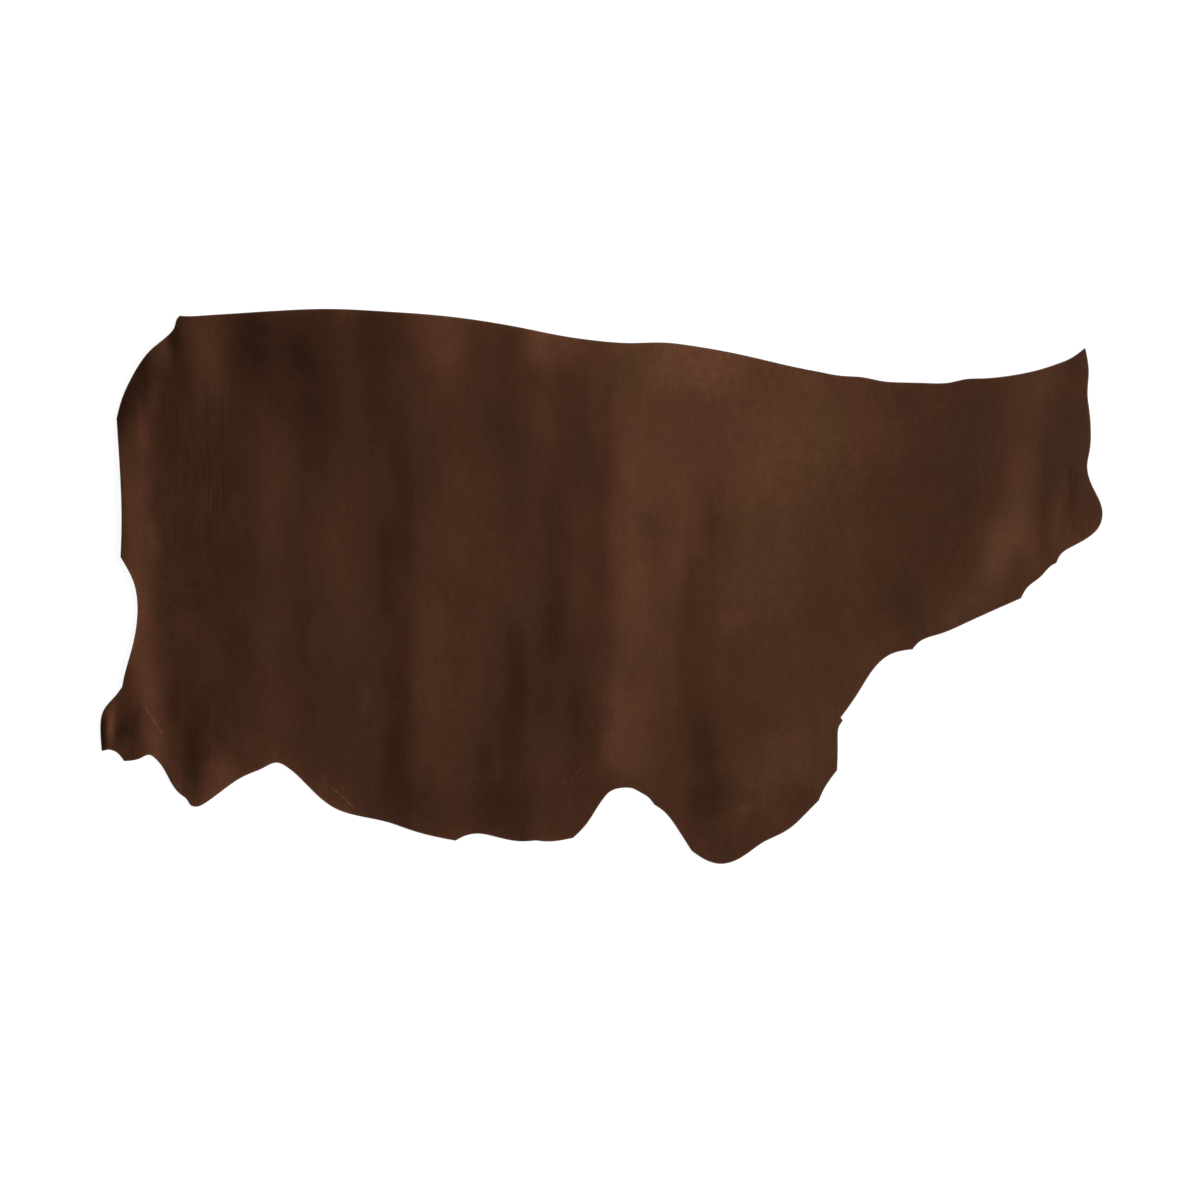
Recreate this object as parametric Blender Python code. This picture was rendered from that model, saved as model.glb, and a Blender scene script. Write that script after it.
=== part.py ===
"""One tanned side of cowhide, lying grain side up on a flat surface.

The side is a single sheet of leather of even thickness with a trimmed edge all round: a long
backbone cut along the top, the rump and hind shank at -X, the belly, flank bay and fore shank
along the bottom, and the neck at +X. It lies flat on z = 0 apart from the soft ridges that run
across it from the backbone to the belly, where the leather stands a few millimetres off.

The outline is drawn edge by edge. Each table below is one edge of the side, with a row for each
station on it: the name of the place, its position in drawing units (u from the rump towards the
neck, v from the backbone down to the belly), and whether the edge turns a corner there or runs
smoothly through. Each ridge is one row too.
"""

import math
from collections import namedtuple

import bpy
import numpy as np
from mathutils import Vector
from mathutils.geometry import delaunay_2d_cdt

# Driving dimensions, in metres
UNIT = 0.00224  # one drawing unit on the leather: the side is about 1000 units long
THICKNESS = 0.0024  # leather split to about 6 oz
EDGE_STEP = 0.0155  # spacing of the points along the cut edge
ACROSS_RIDGES = 0.0225  # spacing of the sheet's points from rump to neck
ALONG_RIDGES = 0.054  # and from backbone to belly, along which the ridges change slowly
EDGE_CLEARANCE = 0.0085  # how near an inner point may come to the cut edge
LEEWAY = 0.4  # how far outside the drawn line the knife went, in drawing units
LEATHER = (0.058, 0.023, 0.013)

Station = namedtuple("Station", "place u v turn")
SMOOTH, CORNER = "smooth", "corner"

BACKBONE = (
    Station("tail corner", 80.0, 7.3, CORNER),
    Station("tail head", 90.0, 7.8, SMOOTH),
    Station("rump end", 104.0, 7.0, SMOOTH),
    Station("rump", 130.0, 5.2, SMOOTH),
    Station("croup", 180.0, 2.0, SMOOTH),
    Station("hip crown", 231.0, 0.4, SMOOTH),
    Station("loin", 282.0, 2.7, SMOOTH),
    Station("short rib", 341.0, 7.1, SMOOTH),
    Station("long rib", 419.0, 18.8, SMOOTH),
    Station("mid back", 462.0, 27.3, SMOOTH),
    Station("saddle", 500.0, 32.5, SMOOTH),
    Station("saddle dip", 532.0, 34.5, SMOOTH),
    Station("saddle crown", 562.0, 34.0, SMOOTH),
    Station("chine", 592.0, 37.2, SMOOTH),
)

WITHERS = (
    Station("shoulder blade", 640.0, 45.9, SMOOTH),
    Station("shoulder top", 700.0, 59.6, SMOOTH),
    Station("shoulder end", 722.0, 63.9, SMOOTH),
    Station("withers", 742.0, 67.3, SMOOTH),
    Station("withers step", 761.0, 68.5, SMOOTH),
    Station("nape step", 783.0, 72.7, SMOOTH),
    Station("nape start", 799.0, 73.8, SMOOTH),
    Station("nape hollow", 824.0, 74.4, SMOOTH),
    Station("nape", 851.0, 73.7, SMOOTH),
    Station("nape nick", 866.0, 70.5, SMOOTH),
    Station("crest", 879.0, 70.0, SMOOTH),
    Station("crest rise", 911.0, 67.0, SMOOTH),
    Station("upper neck", 941.0, 60.6, SMOOTH),
    Station("poll rise", 957.0, 55.3, SMOOTH),
    Station("poll", 970.8, 49.5, SMOOTH),
)

NECK = (
    Station("neck tip", 984.7, 39.4, CORNER),
    Station("behind the ear", 988.0, 64.0, SMOOTH),
    Station("jaw hollow", 986.8, 84.0, SMOOTH),
    Station("jaw rise", 988.8, 103.0, SMOOTH),
    Station("jaw", 990.1, 124.0, SMOOTH),
    Station("jaw end", 989.2, 140.0, SMOOTH),
    Station("cheek hollow", 986.5, 157.0, SMOOTH),
    Station("cheek rise", 993.1, 180.2, SMOOTH),
    Station("cheek", 1001.6, 201.5, SMOOTH),
    Station("cheek turn", 997.8, 218.5, SMOOTH),
    Station("cheek foot", 990.2, 226.3, SMOOTH),
    Station("throat", 970.2, 238.0, SMOOTH),
    Station("throat hollow", 959.5, 245.9, SMOOTH),
    Station("throat nick", 955.6, 253.8, CORNER),
    Station("gullet start", 953.0, 254.9, SMOOTH),
    Station("gullet", 940.0, 267.4, SMOOTH),
    Station("gullet turn", 926.8, 278.2, SMOOTH),
)

BRISKET = (
    Station("gullet corner", 920.4, 288.9, CORNER),
    Station("dewlap", 860.2, 315.9, SMOOTH),
    Station("dewlap low", 840.0, 324.3, SMOOTH),
    Station("dewlap end", 827.5, 328.0, SMOOTH),
    Station("brisket nick", 818.6, 332.6, SMOOTH),
    Station("brisket corner", 812.0, 339.9, CORNER),
    Station("brisket", 791.0, 344.5, SMOOTH),
    Station("point of shoulder", 778.0, 353.9, SMOOTH),
    Station("upper arm", 768.0, 366.7, SMOOTH),
    Station("forearm", 755.5, 386.8, SMOOTH),
    Station("elbow nick head", 740.1, 408.3, CORNER),
    Station("elbow nick", 742.1, 411.6, CORNER),
    Station("elbow", 738.3, 417.6, SMOOTH),
    Station("elbow side", 737.1, 427.0, SMOOTH),
    Station("elbow flat", 737.1, 444.0, SMOOTH),
)

FORE_SHANK = (
    Station("elbow corner", 736.5, 461.0, CORNER),
    Station("knee", 722.5, 481.5, SMOOTH),
    Station("knee nick", 718.4, 491.0, CORNER),
    Station("cannon", 704.5, 505.0, SMOOTH),
    Station("cannon turn", 690.5, 518.0, SMOOTH),
    Station("cannon flat", 677.0, 525.9, SMOOTH),
    Station("cannon hollow", 664.0, 532.0, SMOOTH),
    Station("fetlock", 640.2, 548.2, SMOOTH),
    Station("foot", 620.5, 554.2, SMOOTH),
    Station("foot turn", 603.5, 549.2, SMOOTH),
    Station("shank corner", 591.7, 541.3, CORNER),
    Station("inner shank", 578.7, 521.0, SMOOTH),
    Station("inner knee", 561.0, 499.5, SMOOTH),
    Station("flank nick", 554.4, 495.2, CORNER),
)

FLANK_BAY = (
    Station("bay rise", 548.0, 487.5, SMOOTH),
    Station("bay slope", 540.3, 482.8, SMOOTH),
    Station("bay shoulder", 532.4, 478.9, SMOOTH),
    Station("bay crown", 523.5, 478.2, SMOOTH),
    Station("bay turn", 509.3, 482.4, SMOOTH),
    Station("bay turn low", 503.5, 488.5, SMOOTH),
    Station("bay side", 496.0, 499.4, SMOOTH),
    Station("bay foot", 485.0, 516.0, SMOOTH),
)

BELLY = (
    Station("belly corner", 472.8, 528.4, CORNER),
    Station("fore belly", 448.0, 531.8, SMOOTH),
    Station("belly nick", 435.4, 530.7, CORNER),
    Station("mid belly", 420.0, 531.6, SMOOTH),
    Station("belly rise", 396.0, 527.2, SMOOTH),
    Station("navel hollow", 378.0, 524.0, SMOOTH),
    Station("navel turn", 364.0, 526.6, SMOOTH),
    Station("navel corner", 355.4, 531.0, CORNER),
    Station("rear belly", 314.0, 521.4, SMOOTH),
    Station("rear belly step", 289.0, 513.0, SMOOTH),
    Station("udder", 250.0, 504.3, SMOOTH),
    Station("udder turn", 236.0, 499.2, SMOOTH),
    Station("flank", 208.0, 476.4, SMOOTH),
    Station("groin rise", 186.0, 456.8, SMOOTH),
    Station("groin", 178.0, 453.2, SMOOTH),
)

THIGH = (
    Station("inner thigh", 163.0, 458.5, SMOOTH),
    Station("inner thigh end", 145.0, 466.2, SMOOTH),
    Station("thigh", 130.5, 475.0, SMOOTH),
    Station("thigh end", 106.0, 493.0, SMOOTH),
    Station("thigh point", 95.0, 497.2, SMOOTH),
    Station("thigh turn", 91.0, 495.8, SMOOTH),
    Station("thigh turn head", 87.9, 491.0, SMOOTH),
    Station("thigh step", 80.5, 484.6, SMOOTH),
    Station("hock slope", 67.0, 464.8, SMOOTH),
    Station("hock turn", 55.5, 448.8, SMOOTH),
    Station("hock hollow", 49.5, 445.3, SMOOTH),
    Station("hock", 41.0, 448.5, SMOOTH),
)

HIND_SHANK = (
    Station("hock corner", 24.3, 451.6, CORNER),
    Station("shank end turn", 18.4, 444.1, SMOOTH),
    Station("shank end", 8.5, 440.2, SMOOTH),
    Station("shank toe", 2.2, 441.7, CORNER),
    Station("shank side", 0.9, 419.5, SMOOTH),
    Station("shank shoulder", 3.6, 402.2, SMOOTH),
    Station("shank slope", 17.0, 385.5, SMOOTH),
    Station("hock nick", 22.6, 377.8, CORNER),
    Station("buttock foot", 24.4, 369.0, SMOOTH),
    Station("buttock low", 30.8, 346.0, SMOOTH),
    Station("buttock hollow", 38.1, 302.0, SMOOTH),
    Station("buttock turn", 34.4, 273.4, SMOOTH),
)

RUMP = (
    Station("stifle corner", 21.3, 248.0, CORNER),
    Station("rump edge", 22.3, 212.0, SMOOTH),
    Station("rump edge high", 20.4, 158.0, SMOOTH),
    Station("rump corner", 17.1, 109.5, CORNER),
    Station("rump turn", 22.0, 91.0, SMOOTH),
    Station("rump curve", 31.2, 70.5, SMOOTH),
    Station("pin bone", 51.7, 41.0, SMOOTH),
    Station("tail set", 69.5, 25.6, SMOOTH),
    Station("tail notch", 75.1, 17.9, SMOOTH),
    Station("tail notch head", 77.4, 10.3, SMOOTH),
)

EDGES = (
    BACKBONE,
    WITHERS,
    NECK,
    BRISKET,
    FORE_SHANK,
    FLANK_BAY,
    BELLY,
    THIGH,
    HIND_SHANK,
    RUMP,
)

# A ridge is where the leather stands off the surface. Its crest runs from (u_top, v_top) by u_mid
# half way down to (u_foot, v_foot), in drawing units. It is `before` wide on the rump side of the
# crest and `after` wide on the neck side, where `keen` tells how sharply it breaks: 0 is a soft
# swell and 1 a fold. It is `rise` metres high. Over the first `lead` and the last `fade` units it
# rises from and sinks to the surface, and at its top it is `slim` times as wide as from half way
# down; an end beyond the cut edge runs out through the edge.
Ridge = namedtuple("Ridge", "name u_top v_top u_mid u_foot v_foot before after keen rise lead fade slim")
RIDGES = (
    Ridge("shank pleat", 6.5, 392, 7.0, 8.0, 470, 8, 10, 0.2, 0.0016, 22, 22, 1.0),
    Ridge("rump ridge", 20.0, 80, 27.0, 52.0, 480, 24, 38, 0.6, 0.0048, 70, 70, 0.8),
    Ridge("pin pleat", 52.0, 0, 51.0, 42.0, 112, 34, 18, 0.3, 0.0036, 40, 40, 1.0),
    Ridge("tail ridge", 88.0, -30, 92.0, 100.0, 112, 24, 44, 0.1, 0.0034, 40, 50, 1.0),
    Ridge("hip ridge", 155.0, 66, 158.0, 154.0, 520, 90, 46, 0.2, 0.0070, 110, 150, 1.0),
    Ridge("thigh pleat", 107.0, 380, 108.0, 110.0, 500, 25, 32, 0.3, 0.0048, 60, 60, 1.0),
    Ridge("loin ridge", 224.0, 110, 222.0, 220.0, 420, 64, 56, 0.2, 0.0050, 110, 110, 1.0),
    Ridge("rib ridge", 316.0, 30, 319.0, 315.0, 600, 42, 118, 0.2, 0.0076, 170, 150, 0.7),
    Ridge("back ridge", 428.0, -40, 428.0, 426.0, 200, 34, 34, 0.2, 0.0035, 80, 80, 1.0),
    Ridge("side ridge", 478.0, 120, 476.0, 484.0, 470, 44, 50, 0.1, 0.0056, 110, 110, 0.8),
    Ridge("navel pleat", 392.0, 400, 393.0, 394.0, 600, 24, 26, 0.1, 0.0018, 60, 60, 1.0),
    Ridge("belly pleat", 434.0, 310, 434.0, 430.0, 600, 34, 40, 0.1, 0.0046, 90, 80, 0.8),
    Ridge("middle ridge", 511.0, 30, 521.0, 486.0, 520, 50, 80, 0.7, 0.0084, 220, 130, 1.0),
    Ridge("shoulder ridge", 631.0, 112, 621.0, 620.0, 480, 46, 110, 0.1, 0.0070, 170, 140, 0.45),
    Ridge("elbow ridge", 622.0, 370, 627.0, 622.0, 580, 46, 84, 0.2, 0.0080, 70, 90, 1.0),
    Ridge("neck ridge", 923.0, -30, 905.0, 816.0, 350, 110, 54, 0.1, 0.0082, 200, 60, 0.6),
    Ridge("cheek pleat", 956.0, 100, 954.0, 950.0, 290, 18, 20, 0.3, 0.0014, 50, 50, 1.0),
)


def clear_scene():
    for thing in list(bpy.data.objects):
        bpy.data.objects.remove(thing, do_unlink=True)


def natural_spline(points, samples):
    """A draughtsman's batten through the points: a cubic of even bend, read at `samples` places."""
    points = np.asarray(points, float)
    chord = np.linalg.norm(np.diff(points, axis=0), axis=1)
    reach = np.concatenate([[0.0], np.cumsum(chord)])
    count = len(points)
    if count == 2:
        share = np.linspace(0, 1, samples)[:, None]
        return points[0] * (1 - share) + points[1] * share
    system = np.zeros((count, count))
    system[0, 0] = system[-1, -1] = 1.0
    target = np.zeros((count, 2))
    for i in range(1, count - 1):
        system[i, i - 1] = chord[i - 1]
        system[i, i] = 2 * (chord[i - 1] + chord[i])
        system[i, i + 1] = chord[i]
        target[i] = 6 * (
            (points[i + 1] - points[i]) / chord[i]
            - (points[i] - points[i - 1]) / chord[i - 1]
        )
    bend = np.linalg.solve(system, target)
    along = np.linspace(0, reach[-1], samples)
    i = np.clip(np.searchsorted(reach, along, side="right") - 1, 0, count - 2)
    width = chord[i][:, None]
    left = (reach[i + 1] - along)[:, None]
    right = (along - reach[i])[:, None]
    return (
        (bend[i] * left**3 + bend[i + 1] * right**3) / (6 * width)
        + (points[i] / width - bend[i] * width / 6) * left
        + (points[i + 1] / width - bend[i + 1] * width / 6) * right
    )


def evenly_spaced(curve, step):
    """The curve at equal distances of about `step`, with both ends kept."""
    length = np.concatenate([[0.0], np.cumsum(np.linalg.norm(np.diff(curve, axis=0), axis=1))])
    count = max(1, round(length[-1] / step))
    at = np.linspace(0, length[-1], count + 1)
    return np.stack([np.interp(at, length, curve[:, k]) for k in (0, 1)], axis=1)


def inward(ring):
    """The way from each point of the ring into the leather."""
    before, after = np.roll(ring, 1, axis=0), np.roll(ring, -1, axis=0)
    along = after - before
    along /= np.linalg.norm(along, axis=1)[:, None]
    normal = np.stack([along[:, 1], -along[:, 0]], axis=1)
    area = np.sum(ring[:, 0] * np.roll(ring[:, 1], -1) - np.roll(ring[:, 0], -1) * ring[:, 1])
    return normal * (-1 if area > 0 else 1)


def outline(step):
    """The cut edge in drawing units, clockwise from the tail corner, a point about every `step`."""
    stations = [station for edge in EDGES for station in edge]
    corners = [i for i, station in enumerate(stations) if station.turn == CORNER]
    ring = []
    for n, first in enumerate(corners):
        last = corners[(n + 1) % len(corners)]
        run = stations[first : last + 1] if last > first else stations[first:] + stations[: last + 1]
        curve = natural_spline([(s.u, s.v) for s in run], 60 * len(run))
        ring.extend(evenly_spaced(curve, step)[:-1])
    ring = np.array(ring)
    return ring - inward(ring) * LEEWAY


def soft_step(x):
    x = np.clip(x, 0.0, 1.0)
    return x * x * (3 - 2 * x)


def swell(across):
    """A soft hump's height at a share of its width from the crest."""
    return np.cos(np.clip(across, 0, 1) * math.pi / 2) ** 2


def fold(across):
    """A fold's height: it drops away steeply at the crest and runs out softly."""
    blunt = 0.12
    reach = (np.sqrt(across**2 + blunt**2) - blunt) / (math.sqrt(1 + blunt**2) - blunt)
    return np.clip(1 - reach, 0, 1) ** 2


def wander(u, v):
    """How far every crest strays sideways at (u, v), in drawing units: no ridge runs true."""
    return 1.9 * np.sin(v / 47 + u / 83) + 1.0 * np.sin(v / 22 - u / 61 + 1.3)


def fullness(u, v):
    """How much higher or lower than its row says a ridge is at (u, v): none is even."""
    return 1 + 0.14 * np.sin(v / 31 + u / 47) + 0.09 * np.sin(v / 13 - u / 29 + 0.6)


def stand_off(u, v):
    """How far the leather's flesh side stands off the surface at (u, v), in metres."""
    total = np.zeros_like(u)
    full = fullness(u, v)
    u = u + wander(u, v)
    for ridge in RIDGES:
        down = np.clip((v - ridge.v_top) / (ridge.v_foot - ridge.v_top), 0.0, 1.0)
        crest = (
            ridge.u_top * (1 - down) * (1 - 2 * down)
            + 4 * ridge.u_mid * down * (1 - down)
            + ridge.u_foot * down * (2 * down - 1)
        )
        off = (u - crest) / (ridge.slim + (1 - ridge.slim) * soft_step(2 * down))
        rump_side = swell(np.abs(off) / ridge.before)
        across = np.abs(off) / ridge.after
        neck_side = (1 - ridge.keen) * swell(across) + ridge.keen * fold(across)
        ends = soft_step((v - ridge.v_top) / ridge.lead) * soft_step((ridge.v_foot - v) / ridge.fade)
        total += ridge.rise * np.where(off < 0, rump_side, neck_side) * ends
    return total * full


def inside(points, ring):
    """Which points lie inside the closed ring, by counting the edges crossed on the way out."""
    count = np.zeros(len(points), int)
    for a, b in zip(ring, np.roll(ring, -1, axis=0)):
        spans = (a[1] > points[:, 1]) != (b[1] > points[:, 1])
        with np.errstate(divide="ignore", invalid="ignore"):
            crossing = a[0] + (points[:, 1] - a[1]) * (b[0] - a[0]) / (b[1] - a[1])
        count += spans & (points[:, 0] < crossing)
    return count % 2 == 1


def distance_to(points, ring):
    nearest = np.full(len(points), np.inf)
    for a, b in zip(ring, np.roll(ring, -1, axis=0)):
        way = b - a
        share = np.clip(((points - a) @ way) / (way @ way), 0.0, 1.0)
        nearest = np.minimum(nearest, np.linalg.norm(points - a - share[:, None] * way, axis=1))
    return nearest


def inner_points(ring):
    """A staggered grid over the side, close across the ridges and open along them."""
    step_u, step_v = ACROSS_RIDGES / UNIT, ALONG_RIDGES / UNIT
    low, high = ring.min(axis=0), ring.max(axis=0)
    rows = []
    for row, v in enumerate(np.arange(low[1] + step_v / 2, high[1], step_v)):
        for u in np.arange(low[0] + step_u / (2 if row % 2 else 1), high[0], step_u):
            rows.append((u, v))
    points = np.array(rows)
    points = points[inside(points, ring)]
    return points[distance_to(points, ring) > EDGE_CLEARANCE / UNIT]


def build_hide():
    ring = outline(EDGE_STEP / UNIT)
    flat = np.concatenate([ring, inner_points(ring)])
    # Triangles are chosen with the sheet squeezed along the ridges, so that they run with them.
    squeezed = [Vector((u, -v * ACROSS_RIDGES / ALONG_RIDGES)) for u, v in flat]
    around = [(i, (i + 1) % len(ring)) for i in range(len(ring))]
    verts, _, faces, origins, _, _ = delaunay_2d_cdt(squeezed, around, [], 1, 1e-5)
    order = [source[0] for source in origins]
    low, high = ring.min(axis=0), ring.max(axis=0)
    middle = (low + high) / 2
    height = stand_off(flat[:, 0], flat[:, 1])
    points = [
        (
            float(flat[i, 0] - middle[0]) * UNIT,
            float(middle[1] - flat[i, 1]) * UNIT,
            float(height[i]),
        )
        for i in order
    ]
    mesh = bpy.data.meshes.new("hide")
    mesh.from_pydata(points, [], [tuple(face) for face in faces])
    mesh.update()
    if mesh.polygons[0].normal.z < 0:
        mesh.flip_normals()
    mesh.shade_smooth()
    hide = bpy.data.objects.new("hide", mesh)
    bpy.context.scene.collection.objects.link(hide)

    # The drawn sheet is the flesh side, which lies on the surface; the leather is built up from it.
    leather = hide.modifiers.new("thickness", "SOLIDIFY")
    leather.thickness = THICKNESS
    leather.offset = 1.0
    leather.use_even_offset = True
    leather.use_rim = True
    return hide


def leather_material():
    material = bpy.data.materials.new("hide_leather")
    material.use_nodes = True
    shader = material.node_tree.nodes["Principled BSDF"]
    shader.inputs["Base Color"].default_value = (*LEATHER, 1.0)
    shader.inputs["Roughness"].default_value = 0.5
    shader.inputs["Metallic"].default_value = 0.0
    return material


clear_scene()
side = build_hide()
side.data.materials.append(leather_material())
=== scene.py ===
"""A dark brown side of cowhide laid grain side up on a pale studio floor, seen from straight above.

The leather is one closed sheet: a finely meshed grain side with its ridges, pleats, scars and
unevenness, a napped flesh side, and a rounded cut edge between them. Places on it are given in
drawing units, as on the CAD part: u runs from the rump to the neck, v from the backbone to the
belly, and a unit is UNIT metres.
"""

import math
from collections import namedtuple

import bpy
import numpy as np
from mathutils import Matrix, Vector
from mathutils.geometry import delaunay_2d_cdt


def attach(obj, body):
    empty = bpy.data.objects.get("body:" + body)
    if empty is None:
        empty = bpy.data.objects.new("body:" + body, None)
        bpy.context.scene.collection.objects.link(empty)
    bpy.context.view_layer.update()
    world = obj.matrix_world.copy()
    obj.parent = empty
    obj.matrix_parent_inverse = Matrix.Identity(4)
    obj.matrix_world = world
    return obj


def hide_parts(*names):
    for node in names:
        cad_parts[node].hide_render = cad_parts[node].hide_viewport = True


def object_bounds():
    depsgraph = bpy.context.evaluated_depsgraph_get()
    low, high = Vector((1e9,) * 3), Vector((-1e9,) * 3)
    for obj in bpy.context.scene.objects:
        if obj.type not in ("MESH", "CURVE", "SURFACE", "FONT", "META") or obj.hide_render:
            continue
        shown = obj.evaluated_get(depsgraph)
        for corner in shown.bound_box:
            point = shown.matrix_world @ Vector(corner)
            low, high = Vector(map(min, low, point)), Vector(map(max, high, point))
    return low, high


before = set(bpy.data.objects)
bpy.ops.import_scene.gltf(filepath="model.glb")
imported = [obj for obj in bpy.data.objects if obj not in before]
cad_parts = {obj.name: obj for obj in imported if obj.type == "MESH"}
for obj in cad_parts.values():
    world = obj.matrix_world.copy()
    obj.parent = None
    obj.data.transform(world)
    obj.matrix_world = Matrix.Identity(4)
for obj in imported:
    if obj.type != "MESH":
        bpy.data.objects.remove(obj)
cad_low, cad_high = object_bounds()

UNIT = 0.00224  # metres in a drawing unit
THICKNESS = 0.0024
LEEWAY = 0.4  # how far outside the drawn line the knife went, in drawing units
EDGE_STEP = 0.0042  # spacing of the points along the cut edge
GRAIN_ACROSS, GRAIN_ALONG = 0.0046, 0.0082  # spacing on the grain side, across and along the ridges
FLESH_ACROSS, FLESH_ALONG = 0.0105, 0.0160  # spacing on the flesh side

Station = namedtuple("Station", "place u v turn")
SMOOTH, CORNER = "smooth", "corner"

BACKBONE = (
    Station("tail corner", 80.0, 7.3, CORNER),
    Station("tail head", 90.0, 7.8, SMOOTH),
    Station("rump end", 104.0, 7.0, SMOOTH),
    Station("rump", 130.0, 5.2, SMOOTH),
    Station("croup", 180.0, 2.0, SMOOTH),
    Station("hip crown", 231.0, 0.4, SMOOTH),
    Station("loin", 282.0, 2.7, SMOOTH),
    Station("short rib", 341.0, 7.1, SMOOTH),
    Station("long rib", 419.0, 18.8, SMOOTH),
    Station("mid back", 462.0, 27.3, SMOOTH),
    Station("saddle", 500.0, 32.5, SMOOTH),
    Station("saddle dip", 532.0, 34.5, SMOOTH),
    Station("saddle crown", 562.0, 34.0, SMOOTH),
    Station("chine", 592.0, 37.2, SMOOTH),
)

WITHERS = (
    Station("shoulder blade", 640.0, 45.9, SMOOTH),
    Station("shoulder top", 700.0, 59.6, SMOOTH),
    Station("shoulder end", 722.0, 63.9, SMOOTH),
    Station("withers", 742.0, 67.3, SMOOTH),
    Station("withers step", 761.0, 68.5, SMOOTH),
    Station("nape step", 783.0, 72.7, SMOOTH),
    Station("nape start", 799.0, 73.8, SMOOTH),
    Station("nape hollow", 824.0, 74.4, SMOOTH),
    Station("nape", 851.0, 73.7, SMOOTH),
    Station("nape nick", 866.0, 70.5, SMOOTH),
    Station("crest", 879.0, 70.0, SMOOTH),
    Station("crest rise", 911.0, 67.0, SMOOTH),
    Station("upper neck", 941.0, 60.6, SMOOTH),
    Station("poll rise", 957.0, 55.3, SMOOTH),
    Station("poll", 970.8, 49.5, SMOOTH),
)

NECK = (
    Station("neck tip", 984.7, 39.4, CORNER),
    Station("behind the ear", 988.0, 64.0, SMOOTH),
    Station("jaw hollow", 986.8, 84.0, SMOOTH),
    Station("jaw rise", 988.8, 103.0, SMOOTH),
    Station("jaw", 990.1, 124.0, SMOOTH),
    Station("jaw end", 989.2, 140.0, SMOOTH),
    Station("cheek hollow", 986.5, 157.0, SMOOTH),
    Station("cheek rise", 993.1, 180.2, SMOOTH),
    Station("cheek", 1001.6, 201.5, SMOOTH),
    Station("cheek turn", 997.8, 218.5, SMOOTH),
    Station("cheek foot", 990.2, 226.3, SMOOTH),
    Station("throat", 970.2, 238.0, SMOOTH),
    Station("throat hollow", 959.5, 245.9, SMOOTH),
    Station("throat nick", 955.6, 253.8, CORNER),
    Station("gullet start", 953.0, 254.9, SMOOTH),
    Station("gullet", 940.0, 267.4, SMOOTH),
    Station("gullet turn", 926.8, 278.2, SMOOTH),
)

BRISKET = (
    Station("gullet corner", 920.4, 288.9, CORNER),
    Station("dewlap", 860.2, 315.9, SMOOTH),
    Station("dewlap low", 840.0, 324.3, SMOOTH),
    Station("dewlap end", 827.5, 328.0, SMOOTH),
    Station("brisket nick", 818.6, 332.6, SMOOTH),
    Station("brisket corner", 812.0, 339.9, CORNER),
    Station("brisket", 791.0, 344.5, SMOOTH),
    Station("point of shoulder", 778.0, 353.9, SMOOTH),
    Station("upper arm", 768.0, 366.7, SMOOTH),
    Station("forearm", 755.5, 386.8, SMOOTH),
    Station("elbow nick head", 740.1, 408.3, CORNER),
    Station("elbow nick", 742.1, 411.6, CORNER),
    Station("elbow", 738.3, 417.6, SMOOTH),
    Station("elbow side", 737.1, 427.0, SMOOTH),
    Station("elbow flat", 737.1, 444.0, SMOOTH),
)

FORE_SHANK = (
    Station("elbow corner", 736.5, 461.0, CORNER),
    Station("knee", 722.5, 481.5, SMOOTH),
    Station("knee nick", 718.4, 491.0, CORNER),
    Station("cannon", 704.5, 505.0, SMOOTH),
    Station("cannon turn", 690.5, 518.0, SMOOTH),
    Station("cannon flat", 677.0, 525.9, SMOOTH),
    Station("cannon hollow", 664.0, 532.0, SMOOTH),
    Station("fetlock", 640.2, 548.2, SMOOTH),
    Station("foot", 620.5, 554.2, SMOOTH),
    Station("foot turn", 603.5, 549.2, SMOOTH),
    Station("shank corner", 591.7, 541.3, CORNER),
    Station("inner shank", 578.7, 521.0, SMOOTH),
    Station("inner knee", 561.0, 499.5, SMOOTH),
    Station("flank nick", 554.4, 495.2, CORNER),
)

FLANK_BAY = (
    Station("bay rise", 548.0, 487.5, SMOOTH),
    Station("bay slope", 540.3, 482.8, SMOOTH),
    Station("bay shoulder", 532.4, 478.9, SMOOTH),
    Station("bay crown", 523.5, 478.2, SMOOTH),
    Station("bay turn", 509.3, 482.4, SMOOTH),
    Station("bay turn low", 503.5, 488.5, SMOOTH),
    Station("bay side", 496.0, 499.4, SMOOTH),
    Station("bay foot", 485.0, 516.0, SMOOTH),
)

BELLY = (
    Station("belly corner", 472.8, 528.4, CORNER),
    Station("fore belly", 448.0, 531.8, SMOOTH),
    Station("belly nick", 435.4, 530.7, CORNER),
    Station("mid belly", 420.0, 531.6, SMOOTH),
    Station("belly rise", 396.0, 527.2, SMOOTH),
    Station("navel hollow", 378.0, 524.0, SMOOTH),
    Station("navel turn", 364.0, 526.6, SMOOTH),
    Station("navel corner", 355.4, 531.0, CORNER),
    Station("rear belly", 314.0, 521.4, SMOOTH),
    Station("rear belly step", 289.0, 513.0, SMOOTH),
    Station("udder", 250.0, 504.3, SMOOTH),
    Station("udder turn", 236.0, 499.2, SMOOTH),
    Station("flank", 208.0, 476.4, SMOOTH),
    Station("groin rise", 186.0, 456.8, SMOOTH),
    Station("groin", 178.0, 453.2, SMOOTH),
)

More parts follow.
